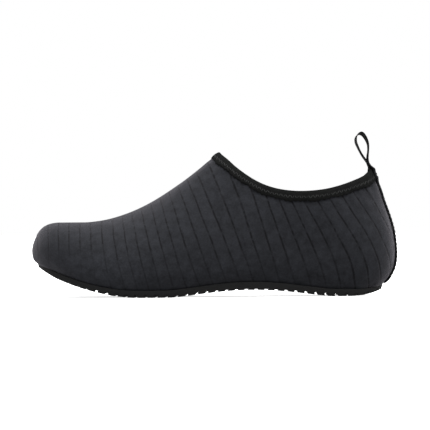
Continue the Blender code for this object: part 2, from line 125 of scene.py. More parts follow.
def rounded(obj, levels):
    """Rounds a mesh and keeps its own points in their places, so that it doesn't shrink."""
    kept = points_of(obj)
    cage = kept.copy()
    for _ in range(3):
        trial = obj.copy()
        trial.data = obj.data.copy()
        scene.collection.objects.link(trial)
        apply_modifier(trial, "SUBSURF", levels=levels, render_levels=levels)
        cage += kept - points_of(trial)[: len(kept)]
        bpy.data.objects.remove(trial, do_unlink=True)
        move_points(obj, cage)
    apply_modifier(obj, "SUBSURF", levels=levels, render_levels=levels)


def normals_of(obj):
    normals = np.empty(len(obj.data.vertices) * 3)
    obj.data.vertices.foreach_get("normal", normals)
    return normals.reshape(-1, 3)


def lay_map(obj, name, u, v):
    """A UV map from one pair of values for each vertex."""
    layer = obj.data.uv_layers.new(name=name)
    corners = np.empty(len(obj.data.loops), dtype=np.int32)
    obj.data.loops.foreach_get("vertex_index", corners)
    layer.data.foreach_set("uv", np.stack((u[corners], v[corners]), axis=1).ravel())


def belongs(piece, slot, *nodes):
    if nodes:
        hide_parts(*nodes)
    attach(piece, "root")
    return piece


def piece_from(node, name, slot):
    """A copy of a solid's mesh, its triangles merged back into four-sided faces."""
    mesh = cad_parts[node].data.copy()
    mesh.materials.clear()
    piece = bpy.data.objects.new(name, mesh)
    scene.collection.objects.link(piece)
    open_mesh(piece)
    bpy.ops.mesh.remove_doubles(threshold=0.00001)
    bpy.ops.mesh.tris_convert_to_quads(face_threshold=radians(70), shape_threshold=radians(130))
    close_mesh()
    return belongs(piece, slot, node)


# Material tools


def feed(tree, socket, value):
    if isinstance(value, bpy.types.NodeSocket):
        tree.links.new(value, socket)
    elif socket.type == "RGBA" and len(value) == 3:
        socket.default_value = (*value, 1.0)
    else:
        socket.default_value = value


def put(tree, kind, **inputs):
    node = tree.nodes.new(kind)
    for name, value in inputs.items():
        feed(tree, node.inputs[name.replace("_", " ")], value)
    return node


def calc(tree, operation, *values):
    node = tree.nodes.new("ShaderNodeMath")
    node.operation = operation
    for socket, value in zip(node.inputs, values):
        feed(tree, socket, value)
    return node.outputs[0]


def ramp(tree, value, start, end, low=0.0, high=1.0):
    """A value that runs smoothly from low at start to high at end."""
    node = tree.nodes.new("ShaderNodeMapRange")
    node.interpolation_type = "SMOOTHSTEP"
    names = ("Value", "From Min", "From Max", "To Min", "To Max")
    for name, given in zip(names, (value, start, end, low, high)):
        feed(tree, node.inputs[name], given)
    return node.outputs[0]


def blend_colors(tree, share, first, second):
    node = tree.nodes.new("ShaderNodeMix")
    node.data_type = "RGBA"
    feed(tree, node.inputs[0], share)
    feed(tree, node.inputs[6], first)
    feed(tree, node.inputs[7], second)
    return node.outputs[2]


def brighten(tree, color, tone):
    """A plain colour times a value that changes over the surface."""
    node = put(tree, "ShaderNodeVectorMath")
    node.operation = "SCALE"
    feed(tree, node.inputs[0], color)
    feed(tree, node.inputs["Scale"], tone)
    return node.outputs[0]


def noise(tree, vector, scale, detail=2.0, roughness=0.5):
    node = put(tree, "ShaderNodeTexNoise", Vector=vector, Scale=scale, Detail=detail, Roughness=roughness)
    return node.outputs[0]


def object_point(tree):
    return put(tree, "ShaderNodeTexCoord").outputs["Object"]


def map_point(tree, name):
    node = put(tree, "ShaderNodeUVMap")
    node.uv_map = name
    return node.outputs["UV"]


def split(tree, vector):
    return put(tree, "ShaderNodeSeparateXYZ", Vector=vector).outputs


def bump(tree, height, distance, normal=None):
    node = put(tree, "ShaderNodeBump", Strength=1.0, Distance=distance, Height=height)
    if normal is not None:
        feed(tree, node.inputs["Normal"], normal)
    return node.outputs["Normal"]


def material(name, **sockets):
    made = bpy.data.materials.new(name)
    made.use_nodes = True
    surface = made.node_tree.nodes["Principled BSDF"]
    for socket, value in sockets.items():
        feed(made.node_tree, surface.inputs[socket.replace("_", " ")], value)
    return made, made.node_tree, surface


def effect(name, inputs, outputs):
    """An empty node group with its sockets, its tree and the nodes at its two ends."""
    group = bpy.data.node_groups.new(name, "ShaderNodeTree")
    for socket, kind in inputs:
        group.interface.new_socket(name=socket, in_out="INPUT", socket_type="NodeSocket" + kind)
    for socket in outputs:
        group.interface.new_socket(name=socket, in_out="OUTPUT", socket_type="NodeSocketFloat")
    return group, group.nodes.new("NodeGroupInput").outputs, group.nodes.new("NodeGroupOutput").inputs


def use(tree, group, **inputs):
    node = tree.nodes.new("ShaderNodeGroup")
    node.node_tree = group
    for name, value in inputs.items():
        feed(tree, node.inputs[name.replace("_", " ")], value)
    return node.outputs


def make_fuzz():
    """Brushed cloth: fine fibres and broader soft patches. Size is the fibres' size in metres."""
    group, given, result = effect(
        "brushed_fuzz", (("Vector", "Vector"), ("Size", "Float"), ("Contrast", "Float")), ("Tone", "Height")
    )
    fine = calc(group, "DIVIDE", 1.0, given["Size"])
    fibres = noise(group, given["Vector"], fine, detail=3.0, roughness=0.65)
    patches = noise(group, given["Vector"], calc(group, "DIVIDE", fine, 5.0), detail=3.0, roughness=0.6)
    blotches = calc(group, "MULTIPLY", calc(group, "SUBTRACT", patches, 0.5), 1.8)
    both = calc(group, "MULTIPLY_ADD", calc(group, "SUBTRACT", fibres, 0.5), 1.6, blotches)
    group.links.new(calc(group, "MULTIPLY_ADD", both, given["Contrast"], 1.0), result["Tone"])
    group.links.new(fibres, result["Height"])
    return group


def make_knit():
    """Rows of knitted loops. One unit of the vector is one loop."""
    group, given, result = effect("knitted_loops", (("Vector", "Vector"),), ("Height",))
    across, along, _ = split(group, given["Vector"])
    wale = calc(group, "FRACT", across)
    arm = calc(group, "ABSOLUTE", calc(group, "SUBTRACT", wale, 0.5))
    slant = calc(group, "FRACT", calc(group, "ADD", along, arm))
    loop = calc(group, "SINE", calc(group, "MULTIPLY", slant, pi))
    halves = calc(group, "FRACT", calc(group, "MULTIPLY", across, 2.0))
    rib = calc(group, "SINE", calc(group, "MULTIPLY", halves, pi))
    group.links.new(calc(group, "MULTIPLY", loop, rib), result["Height"])
    return group


def make_weave():
    """Plain weave of flat yarns. One unit of the vector is one yarn."""
    group, given, result = effect("plain_weave", (("Vector", "Vector"),), ("Height",))
    across, along, _ = split(group, given["Vector"])
    yarns = []
    for value in (across, along):
        yarns.append(calc(group, "SINE", calc(group, "MULTIPLY", calc(group, "FRACT", value), pi)))
    steps = calc(group, "ADD", calc(group, "FLOOR", across), calc(group, "FLOOR", along))
    over = calc(group, "FLOORED_MODULO", steps, 2.0)
    under = calc(group, "SUBTRACT", 1.0, over)
    height = calc(group, "MULTIPLY_ADD", yarns[1], under, calc(group, "MULTIPLY", yarns[0], over))
    group.links.new(height, result["Height"])
    return group


fuzz = make_fuzz()
knit = make_knit()
weave = make_weave()


# Materials


CLOTH_COLOR = (0.0157, 0.0165, 0.0195)
PRESSED_COLOR = (0.0036, 0.0037, 0.0044)
CLOTH_SHEEN = (0.95, 0.90, 0.98)
LINING_COLOR = (0.019, 0.0195, 0.021)
INSOLE_COLOR = (0.022, 0.022, 0.024)
ELASTIC_COLOR = (0.0046, 0.0048, 0.0046)
WEBBING_COLOR = (0.0070, 0.0070, 0.0076)
THREAD_COLOR = (0.0220, 0.0224, 0.0220)
RUBBER_COLOR = (0.0090, 0.0090, 0.0092)

LINE_EDGE = (0.105, 0.020)  # distance from a pressed line at which it begins and is whole, in pitches
LINE_SWAY = 0.16  # how far it wanders aside, in pitches
SIPE_PITCH = 0.0014  # between the fine cuts across the lugs' tips

# Low parts of the side: the X at which each begins and is whole, then the height in the same way
LOW_TOE = ((-0.072, -0.088), (0.040, 0.030))
LOW_SIDE = ((0.096, 0.078), (0.040, 0.018))
# Painted light: the cloth at the lower toe is made lighter, standing in for fill light from low in front
PAINTED_LIGHT_TOE = ((-0.030, -0.080), (0.036, 0.022))


def scaled_vector(tree, vector, *factors):
    node = put(tree, "ShaderNodeVectorMath")
    node.operation = "MULTIPLY"
    feed(tree, node.inputs[0], vector)
    feed(tree, node.inputs[1], factors)
    return node.outputs[0]


def low_part(tree, point, lengths, heights):
    """A mask of the shoe's lower side between two places along it, soft at its edges."""
    length, _, height = split(tree, point)
    return calc(tree, "MULTIPLY", ramp(tree, length, *lengths), ramp(tree, height, *heights))


def shaded(tree, grain, relief, contrast, darkest):
    """The grain's tone, times painted shade from a relief: darker in its hollows, lighter on its tops."""
    return calc(tree, "MULTIPLY", grain["Tone"], calc(tree, "MULTIPLY_ADD", relief, contrast, darkest))


def pressed_lines(tree, point, number):
    """A mask of the pressed lines, swaying a little, worn in places and faint on the lower side."""
    sway = calc(tree, "SUBTRACT", noise(tree, point, scale=55.0, detail=1.0), 0.5)
    number = calc(tree, "MULTIPLY_ADD", sway, LINE_SWAY, number)
    nearest = calc(tree, "FRACT", calc(tree, "ADD", number, 0.5))
    line = ramp(tree, calc(tree, "ABSOLUTE", calc(tree, "SUBTRACT", nearest, 0.5)), *LINE_EDGE)
    worn = ramp(tree, noise(tree, point, scale=300.0, detail=3.0), 0.32, 0.58, low=0.30)
    line = calc(tree, "MULTIPLY", line, worn)
    for part, loss in ((LOW_TOE, -0.75), (LOW_SIDE, -0.50)):
        kept = calc(tree, "MULTIPLY_ADD", low_part(tree, point, *part), loss, 1.0)
        line = calc(tree, "MULTIPLY", line, kept)
    return line


def stretch_cloth():
    """Charcoal brushed stretch cloth with thin pressed lines, from the map laid along the shoe."""
    made, tree, surface = material(
        "charcoal_stretch_cloth",
        Sheen_Weight=0.27,
        Sheen_Roughness=0.38,
        Sheen_Tint=CLOTH_SHEEN,
        Specular_IOR_Level=0.1,
    )
    point = object_point(tree)
    cloth = map_point(tree, "cloth")
    line = pressed_lines(tree, point, split(tree, cloth)[0])
    grain = use(tree, fuzz, Vector=point, Size=0.0012, Contrast=0.75)
    loops = use(tree, knit, Vector=scaled_vector(tree, cloth, 12.0, 10.0, 1.0))["Height"]
    # Painted light: the lower toe's cloth is up to a third lighter, in place of fill light from low in
    # front
    painted_toe_light = calc(tree, "MULTIPLY_ADD", low_part(tree, point, *PAINTED_LIGHT_TOE), 0.30, 1.0)
    tone = calc(tree, "MULTIPLY", shaded(tree, grain, loops, contrast=0.10, darkest=0.95), painted_toe_light)
    plain = brighten(tree, CLOTH_COLOR, tone)
    pressed = brighten(tree, PRESSED_COLOR, tone)
    feed(tree, surface.inputs["Base Color"], blend_colors(tree, line, plain, pressed))
    feed(tree, surface.inputs["Roughness"], calc(tree, "MULTIPLY_ADD", grain["Height"], 0.15, 0.80))
    normal = bump(tree, calc(tree, "MULTIPLY_ADD", line, -1.0, 1.0), distance=0.00014)
    fibres = calc(tree, "ADD", grain["Height"], calc(tree, "MULTIPLY", loops, 0.5))
    feed(tree, surface.inputs["Normal"], bump(tree, fibres, distance=0.00009, normal=normal))
    return made


def lining_cloth():
    """Plain dark knit on the cloth's inner face, from the same map."""
    made, tree, surface = material(
        "dark_knit_lining", Roughness=0.92, Sheen_Weight=0.25, Sheen_Roughness=0.6, Specular_IOR_Level=0.2
    )
    grain = use(tree, fuzz, Vector=object_point(tree), Size=0.0008, Contrast=0.30)
    loops = use(tree, knit, Vector=scaled_vector(tree, map_point(tree, "cloth"), 9.0, 8.0, 1.0))["Height"]
    tone = shaded(tree, grain, loops, contrast=0.25, darkest=0.85)
    feed(tree, surface.inputs["Base Color"], brighten(tree, LINING_COLOR, tone))
    feed(tree, surface.inputs["Normal"], bump(tree, loops, distance=0.00012))
    return made


def insole_cloth():
    """Plain dark knit that covers the insole."""
    made, tree, surface = material(
        "dark_insole_cloth", Roughness=0.93, Sheen_Weight=0.2, Sheen_Roughness=0.6, Specular_IOR_Level=0.2
    )
    point = object_point(tree)
    grain = use(tree, fuzz, Vector=point, Size=0.0009, Contrast=0.30)
    loops = use(tree, knit, Vector=scaled_vector(tree, point, 900.0, 700.0, 1.0))["Height"]
    tone = shaded(tree, grain, loops, contrast=0.35, darkest=0.8)
    feed(tree, surface.inputs["Base Color"], brighten(tree, INSOLE_COLOR, tone))
    feed(tree, surface.inputs["Normal"], bump(tree, loops, distance=0.00015))
    return made


def woven_band(name, color, contrast, depth, roughness):
    """Woven elastic or webbing, whose map counts yarns across and along."""
    made, tree, surface = material(name, Specular_IOR_Level=0.08)
    grain = use(tree, fuzz, Vector=object_point(tree), Size=0.0011, Contrast=0.70)
    yarns = use(tree, weave, Vector=map_point(tree, "band"))["Height"]
    tone = shaded(tree, grain, yarns, contrast, darkest=1.0 - contrast / 2)
    feed(tree, surface.inputs["Base Color"], brighten(tree, color, tone))
    feed(tree, surface.inputs["Roughness"], calc(tree, "MULTIPLY_ADD", grain["Height"], 0.2, roughness))
    feed(tree, surface.inputs["Normal"], bump(tree, yarns, depth))
    return made


def sewing_thread():
    """Charcoal thread, with a fine fuzz."""
    made, tree, surface = material("charcoal_thread", Roughness=0.6, Specular_IOR_Level=0.25)
    grain = use(tree, fuzz, Vector=object_point(tree), Size=0.0002, Contrast=0.5)
    feed(tree, surface.inputs["Base Color"], brighten(tree, THREAD_COLOR, grain["Tone"]))
    feed(tree, surface.inputs["Normal"], bump(tree, grain["Height"], distance=0.00005))
    return made


def sole_rubber():
    """Black moulded rubber with a fine grain, a broad uneven tone and cuts across the lugs' tips."""
    made, tree, surface = material("black_sole_rubber", Specular_IOR_Level=0.14)
    point = object_point(tree)
    fine = noise(tree, point, scale=2600.0, roughness=0.6)
    broad = noise(tree, point, scale=90.0, detail=3.0, roughness=0.6)
    tone = calc(tree, "MULTIPLY_ADD", broad, 0.5, calc(tree, "MULTIPLY_ADD", fine, 0.4, 0.55))
    feed(tree, surface.inputs["Base Color"], brighten(tree, RUBBER_COLOR, tone))
    feed(tree, surface.inputs["Roughness"], ramp(tree, broad, 0.3, 0.7, low=0.52, high=0.70))
    facing = split(tree, put(tree, "ShaderNodeNewGeometry").outputs["Normal"])[2]
    under = ramp(tree, facing, -0.85, -0.95)
    along = calc(tree, "MULTIPLY", split(tree, point)[0], pi / SIPE_PITCH)
    groove = calc(tree, "ABSOLUTE", calc(tree, "SINE", along))
    sipes = calc(tree, "MULTIPLY", calc(tree, "SUBTRACT", groove, 1.0), under)
    normal = bump(tree, sipes, distance=0.00025)
    feed(tree, surface.inputs["Normal"], bump(tree, fine, distance=0.00006, normal=normal))
    return made


# Collar's line, as the solids have it

COLLAR_SWEEP = 2.15  # power of the curve from its lowest place up to its front
COLLAR_STEPS = 1440


def collar_line(angle, side):
    """The top of the binding at an angle from 0 at the front to pi at the back."""
    share = (1 - cos(angle)) / 2
    if share < COLLAR_LOWEST:
        rise = (COLLAR_FRONT_HEIGHT - COLLAR_SIDE_HEIGHT) * (1 - share / COLLAR_LOWEST) ** COLLAR_SWEEP
    else:
        past = (share - COLLAR_LOWEST) / (1 - COLLAR_LOWEST)
        rise = (COLLAR_BACK_HEIGHT - COLLAR_SIDE_HEIGHT) * past**2
    peak = max((share - PEAK_START) / (1 - PEAK_START), 0.0)
    rise += COLLAR_PEAK * peak**2 * (3 - 2 * peak)
    x = (1 - FRONT_SHARE) * SOLE_LENGTH - COLLAR_START + COLLAR_LENGTH * share
    return np.array((x, side * COLLAR_WIDTH / 2 * sin(angle), COLLAR_SIDE_HEIGHT + rise))


def collar_frame(turn):
    """The cloth's edge and the ways up, out and along, at a turn from 0 at the front, outer side first."""
    side = -1 if turn <= pi else 1
    angle = turn if side < 0 else 2 * pi - turn
    step = 0.002
    along = collar_line(min(angle + step, pi), side) - collar_line(max(angle - step, 0), side)
    if angle < step or angle > pi - step:
        along = np.array((0.0, side * cos(angle), 0.0))
    inward = np.array((side * along[1], -side * along[0], 0.0))
    inward /= np.linalg.norm(inward)
    front, back = max(cos(angle), 0.0) ** 1.5, max(-cos(angle), 0.0)
    lean = radians(SIDE_LEAN + (FRONT_LEAN - SIDE_LEAN) * front + (BACK_LEAN - SIDE_LEAN) * back)
    up = inward * sin(lean) + np.array((0.0, 0.0, cos(lean)))
    out = np.array((0.0, 0.0, sin(lean))) - inward * cos(lean)
    along = along * -side / np.linalg.norm(along)
    return collar_line(angle, side) - up * (BINDING + FIT), up, out, along


collar_turns = [2 * pi * step / COLLAR_STEPS for step in range(COLLAR_STEPS)]
collar_frames = [np.array(part) for part in zip(*(collar_frame(turn) for turn in collar_turns))]
collar_gaps = np.linalg.norm(np.diff(collar_frames[0], axis=0, append=collar_frames[0][:1]), axis=1)
collar_length = collar_gaps.sum()
collar_run = np.concatenate(([0.0], np.cumsum(collar_gaps)[:-1]))


def beside_collar(points):
    """Each point's run along the collar, height above the cloth's edge, distance out and nearest step."""
    edge, up, out, _ = collar_frames
    nearest = np.empty(len(points), dtype=int)
    for index, point in enumerate(points):
        nearest[index] = np.argmin(((edge - point) ** 2).sum(axis=1))
    offset = points - edge[nearest]
    lift = (offset * up[nearest]).sum(axis=1)
    outward = (offset * out[nearest]).sum(axis=1)
    return collar_run[nearest], lift, outward, nearest


def collar_at(run):
    """Edge, up, out and along at a length along the collar."""
    index = int(np.searchsorted(collar_run, run % collar_length, side="right")) - 1
    return [Vector(part[index]) for part in collar_frames]


# Shapes of small changes


def bell(value, middle, half):
    """1 at the middle, falling away smoothly on both sides of it."""
    return np.exp(-(((value - middle) / half) ** 2))


def grown(value, begins, whole):
    """0 up to one place, 1 past another, and even between them."""
    return np.clip((value - begins) / (whole - begins), 0.0, 1.0)


# Upper


def line_numbers(points):
    """The number of the pressed line at each point, with a fraction between two lines.

    The chart runs on past its two ends.
    """
    heights = np.array(LINE_HEIGHTS) / 1000
    charted = sorted(LINES)
    every = np.arange(charted[0] - 2, charted[-1] + 3)
    chart = np.array([LINES[number] for number in charted]) / 1000
    slopes = np.gradient(chart, charted, axis=0)
    levels = []
    for number in every:
        row = int(np.clip(np.searchsorted(charted, number, side="right") - 1, 0, len(charted) - 2))
        span = charted[row + 1] - charted[row]
        t = (number - charted[row]) / span
        if t < 0 or t > 1:
            end = 0 if t < 0 else -1
            levels.append(chart[end] + slopes[end] * (number - charted[end]))
            continue
        levels.append(
            (2 * t**3 - 3 * t**2 + 1) * chart[row]
            + (t**3 - 2 * t**2 + t) * span * slopes[row]
            + (3 * t**2 - 2 * t**3) * chart[row + 1]
            + (t**3 - t**2) * span * slopes[row + 1]
        )
    curves = [np.polyfit(heights, level, 3) for level in levels]
    at_height = np.array([np.polyval(curve, points[:, 2]) for curve in curves])
    numbers = np.empty(len(points))
    for index, x in enumerate(points[:, 0]):
        numbers[index] = np.interp(x, at_height[:, index], every)
    return numbers


# Where the cloth stands a little further out than the plain solids: how far it goes along X, the X at which
# this begins and is whole, its middle height, half its height, and the middle's rise for each metre of X
FULLER = (
    # shift, begins, whole, height, half height, rise
    (-0.0019, -0.1000, -0.1260, 0.0325, 0.0095, 0.0),  # tip of the toe
    (-0.0018, -0.1120, -0.1240, 0.0246, 0.0030, -0.5),  # over the sole's rim at the toe
    (0.0010, 0.1080, 0.1180, 0.0112, 0.0030, 0.0),  # over the sole's rim behind the heel
    (0.0006, 0.1080, 0.1160, 0.0070, 0.0024, 0.0),  # cloth turned in behind the heel
    (0.0011, 0.1000, 0.1120, 0.0780, 0.0070, 0.0),  # where the tape's ends are sewn in, under the collar
    (0.0005, 0.1080, 0.1160, 0.0450, 0.0220, 0.0),  # back of the heel
    (0.0012, 0.1000, 0.1080, 0.0935, 0.0040, 0.0),  # foot of the pull loop
)
TOE_TIP = -0.1275

# The instep is lifted all along, and most of all about one place
INSTEP_LIFT = 0.0004
INSTEP_PUFF = 0.0006
INSTEP_PUFF_X = (-0.027, 0.020)  # middle and half length
INSTEP_X = (0.004, -0.006)  # begins, whole
INSTEP_Z = (0.030, 0.052)

# The collar's edge dips behind its peak
COLLAR_DIP = 0.0009
COLLAR_DIP_X = (0.033, 0.018)  # middle and half length
COLLAR_DIP_Z = (0.060, 0.074)  # begins, whole

# The collar's peak leans back, and its tip is worn down
PEAK_LEAN = 0.0008
PEAK_WEAR = 0.0010
PEAK_X = (0.004, 0.005)  # middle and half length
PEAK_Z = (0.094, 0.102)  # begins, whole
PEAK_END = 0.05

# The cloth is tucked back against the tape over the sole's rim
HEEL_TUCK = 0.0016
HEEL_TUCK_FROM = 0.112
HEEL_TUCK_Z = (0.0074, 0.0018)  # middle and half height

# The binding's stitches pull small folds into the cloth below them
PUCKER = 0.00028
PUCKER_LENGTH = 0.0085
PUCKER_DRIFT = 0.031  # length over which the folds crowd and spread
PUCKER_REACH = 0.009
PUCKER_OUT = 0.012

# The map turns about a line inside the shoe, which bends aside at the toe
GIRTH_HEIGHT = 0.030
GIRTH_ASIDE = 0.008
GIRTH_LENGTH = 0.12
GIRTH_RADIUS = 0.040


def eased(points):
    """The cloth a little fuller at the toe, heel and instep, and the collar's edge a little lower."""
    x, z = points[:, 0], points[:, 2]
    moved = points.copy()
    for shift, begins, whole, height, half, rise in FULLER:
        share = grown(x, begins, whole)
        middle = height + rise * (x - TOE_TIP)
        moved[:, 0] += shift * share**2 * (3 - 2 * share) * bell(z, middle, half)
    instep = INSTEP_LIFT + INSTEP_PUFF * bell(x, *INSTEP_PUFF_X)
    moved[:, 2] += instep * grown(x, *INSTEP_X) * grown(z, *INSTEP_Z)
    moved[:, 2] -= COLLAR_DIP * bell(x, *COLLAR_DIP_X) * grown(z, *COLLAR_DIP_Z)
    at_peak = grown(z, *PEAK_Z)
    moved[:, 0] += PEAK_LEAN * at_peak * (x < PEAK_END)
    moved[:, 2] -= PEAK_WEAR * bell(x, *PEAK_X) * at_peak
    return moved


def line_inside(upper):
    """Gives every face but those of the cloth's outer side the second material."""
    open_mesh(upper, False)
    mesh = bmesh.from_edit_mesh(upper.data)
    outermost = min(mesh.faces, key=lambda face: face.calc_center_median().y)
    outermost.select = True
    mesh.faces.active = outermost
    bmesh.update_edit_mesh(upper.data)
    bpy.ops.mesh.faces_select_linked_flat(sharpness=radians(60))
    bpy.ops.mesh.select_all(action="INVERT")
    upper.active_material_index = 1
    bpy.ops.object.material_slot_assign()
    close_mesh()


def dress_upper():
    upper = piece_from("upper", "stretch_cloth_upper", "upper_stretch_fabric")
    upper.data.materials.append(stretch_cloth())
    upper.data.materials.append(lining_cloth())
    line_inside(upper)
    rounded(upper, 2)
    points = points_of(upper)
    normals = normals_of(upper)
    run, lift, out, _ = beside_collar(points)
    below = np.clip(-(lift + BINDING_WIDTH), 0.0, None)
    near = np.exp(-below / PUCKER_REACH) * (np.abs(out) < PUCKER_OUT)
    pucker = np.sin(run / PUCKER_LENGTH * 2 * pi + 1.3 * np.sin(run / PUCKER_DRIFT * 2 * pi))
    points[:, 0] += HEEL_TUCK * (points[:, 0] > HEEL_TUCK_FROM) * bell(points[:, 2], *HEEL_TUCK_Z)
    move_points(upper, eased(points) + normals * (PUCKER * near * pucker)[:, None])
    points = points_of(upper)
    aside = GIRTH_ASIDE * np.clip(-points[:, 0] / GIRTH_LENGTH, 0, 1)
    turn = np.arctan2(points[:, 1] - aside, points[:, 2] - GIRTH_HEIGHT)
    lay_map(upper, "cloth", line_numbers(points), turn * GIRTH_RADIUS / LINE_PITCH)
    upper.data.shade_smooth()


# Insole


INSOLE_BEVEL = 0.0007


def dress_insole():
    insole = piece_from("insole", "soft_insole", "insole_fabric")
    apply_modifier(
        insole, "BEVEL", width=INSOLE_BEVEL, segments=2, limit_method="ANGLE", angle_limit=radians(40)
    )
    rounded(insole, 1)
    insole.data.materials.append(insole_cloth())
    insole.data.shade_smooth()


# Collar


# The cloth between the two legs of the pull loop
LOOP_FOOT_HEIGHT = 0.0040
LOOP_FOOT_HALF = 0.0017  # half its thickness
LOOP_FOOT_OUT = 0.0006  # its middle's distance out of the cloth's own middle
LOOP_FOOT_EDGE = 0.002  # how far it fades on either side of the tape's edges
LOOP_FOOT_TOP = 0.0008  # height above the cloth's edge at which it is whole
AT_HEEL = 0.1  # X behind which the collar is at its back

STITCH_PITCH = 0.0032
THREAD = 0.00024  # its radius

# The binding's hem is drawn up by each stitch and by its own slack, and both puff its faces out
HEM_PULL = 0.00040
HEM_SLACK = 0.00034
HEM_PUFF = 0.00010
SLACK_LENGTHS = (0.019, 0.0083)  # of its two waves along the collar
LENGTHWISE = 0.75  # share of an edge that runs along the collar, from which it is divided

ELASTIC_YARN = (0.0007, 0.0008)  # across and along
FACES_APART = 0.0008  # the binding's two faces in its map

ZIGZAG_DEPTHS = (0.0047, 0.0021)  # below the cloth's edge, where the zigzag turns


def divide_along(binding):
    """Cuts the edges that run along the binding in three, so that each stitch can pull on its hem."""
    open_mesh(binding, False)
    mesh = bmesh.from_edit_mesh(binding.data)
    middles = np.array([(edge.verts[0].co + edge.verts[1].co) / 2 for edge in mesh.edges])
    ways = np.array([(edge.verts[1].co - edge.verts[0].co).normalized() for edge in mesh.edges])
    nearest = beside_collar(middles)[3]
    lengthwise = np.abs((ways * collar_frames[3][nearest]).sum(axis=1)) > LENGTHWISE
    for edge, chosen in zip(mesh.edges, lengthwise):
        edge.select = bool(chosen)
    bmesh.update_edit_mesh(binding.data)
    bpy.ops.mesh.subdivide(number_cuts=2)
    close_mesh()


def loop_foot(points, lift, out):
    """How far each point of the binding rises between the legs of the pull loop."""
    edges = (TAPE_WIDTH / 2 + LOOP_FOOT_EDGE, TAPE_WIDTH / 2 - LOOP_FOOT_EDGE)
    across = grown(np.abs(points[:, 1]), *edges) * (points[:, 0] > AT_HEEL)
    between = grown(np.abs(out + WALL / 2 - LOOP_FOOT_OUT), LOOP_FOOT_HALF, 0.0)
    return LOOP_FOOT_HEIGHT * across * between * grown(lift, 0.0, LOOP_FOOT_TOP)


def dress_binding():
    binding = piece_from("collar_binding", "collar_elastic", "collar_elastic")
    rounded(binding, 2)
    divide_along(binding)
    points = points_of(binding)
    run, lift, out, nearest = beside_collar(points)
    hem = np.clip(-lift / BINDING_WIDTH, 0.0, 1.0)
    pull = np.sin(run / STITCH_PITCH * 2 * pi)
    long_wave, short_wave = SLACK_LENGTHS
    slack = np.sin(run / long_wave * 2 * pi) + 0.7 * np.sin(run / short_wave * 2 * pi + 1.0)
    rise = hem**2 * (HEM_PULL * pull + HEM_SLACK * slack)
    puff = np.sign(out + WALL / 2) * HEM_PUFF * (pull + slack) * hem
    rise += loop_foot(points, lift, out)
    points = points + collar_frames[1][nearest] * rise[:, None] + collar_frames[2][nearest] * puff[:, None]
    move_points(binding, eased(points))
    across = (lift + np.sign(out) * FACES_APART) / ELASTIC_YARN[0]
    lay_map(binding, "band", across, run / ELASTIC_YARN[1])
    binding.data.materials.append(
        woven_band("black_collar_elastic", ELASTIC_COLOR, contrast=0.9, depth=0.00014, roughness=0.75)
    )
    binding.data.shade_smooth()


# The ends of a stitch dip and get thinner, from shares of its half length on
STITCH_DIP = 2.2  # in radii of the thread
STITCH_THINNING = 0.35
DIPS_FROM = 0.3
THINS_FROM = 0.6
STITCH_CUTS = (-0.4, -0.22, 0.22, 0.4)  # where it is divided, in lengths from its middle


def one_stitch(length):
    """A short run of thread that dips into the cloth at both ends, made along X and lying on Z = 0."""
    bpy.ops.mesh.primitive_cylinder_add(vertices=8, radius=THREAD, depth=length, rotation=(0, pi / 2, 0))
    stitch = bpy.context.object
    pick(stitch)
    bpy.ops.object.transform_apply(location=True, rotation=True, scale=True)
    open_mesh(stitch)
    for place in STITCH_CUTS:
        bpy.ops.mesh.select_all(action="SELECT")
        bpy.ops.mesh.bisect(plane_co=(place * length, 0, 0), plane_no=(1, 0, 0))
    close_mesh()
    points = points_of(stitch)
    share = np.abs(points[:, 0]) / (length / 2)
    points[:, 1:] *= (1 - STITCH_THINNING * grown(share, THINS_FROM, 1))[:, None]
    points[:, 2] -= STITCH_DIP * THREAD * grown(share, DIPS_FROM, 1) ** 2
    move_points(stitch, points)
    return stitch


def sew(name, slot, pattern, places, shader):
    """Copies of one stitch, joined into a row of sewing. A place is a 4 by 4 matrix."""
    copies = []
    for place in places:
        copy = pattern.copy()
        copy.data = pattern.data.copy()
        scene.collection.objects.link(copy)
        copy.data.transform(place)
        copies.append(copy)
    bpy.data.objects.remove(pattern, do_unlink=True)
    pick(*copies)
    bpy.ops.object.join()
    row = bpy.context.view_layer.objects.active
    row.name = name
    row.data.materials.append(shader)
    row.data.shade_smooth()
    return belongs(row, slot)


def stitch_place(start, end, out):
    """Lays a stitch that was made along X from one point to another, with its back against the cloth."""
    along = (end - start).normalized()
    across = out.cross(along).normalized()
    turned = Matrix((along, across, along.cross(across))).transposed()
    return Matrix.Translation((start + end) / 2) @ turned.to_4x4()


def sew_collar(thread):
    """Zigzag through the binding, seen on its outside and on its inside."""
    count = round(collar_length / STITCH_PITCH) * 2
    step = collar_length / count
    for name, face in (("outer", FIT + BINDING), ("inner", -WALL - FIT - BINDING)):
        places = []
        way = 1 if face > 0 else -1
        for index in range(count):
            corners = []
            for number in (index, index + 1):
                edge, up, out, _ = collar_at(number * step)
                corners.append(edge - up * ZIGZAG_DEPTHS[number % 2] + out * (face + way * THREAD / 2))
            places.append(stitch_place(*corners, out * way))
        length = (corners[1] - corners[0]).length
        row = sew("zigzag_" + name, "collar_elastic", one_stitch(length), places, thread)
        move_points(row, eased(points_of(row)))


# Heel tape


# The bend at the top of the pull loop, seen from the side
LOOP_BEND = (0.1052, 0.1126)
LOOP_BEND_RADIUS = 0.0038

# The two legs of the loop are pressed together where they meet
LOOP_PRESSED = 0.0006
LOOP_CLOSED_X = 0.1093
LOOP_CLOSED_Z = (0.0970, 0.0045)  # middle and half height

# The loop's webbing is thinner above there, on each side
LOOP_THINNED = 0.00030
LOOP_THIN_Z = (0.098, 0.104)  # begins, whole

# The inner leg stands nearer to the outer one at the loop's foot
INNER_LEG_SHIFT = 0.0022
INNER_LEG_X = (0.1102, 0.1092)  # begins, whole
INNER_LEG_Z = (0.0885, 0.0034)  # middle and half height

WEBBING_YARN = (0.0010, 0.0011)  # across and along

# Stitches down the tape
TAPE_STITCH = 0.0030
STITCH_SHARE = 0.82  # of the pitch that is thread
TAPE_SEWN = (0.0800, 0.0125)  # top and bottom
TAPE_HEM = 0.0048  # the rows' distance from the tape's middle

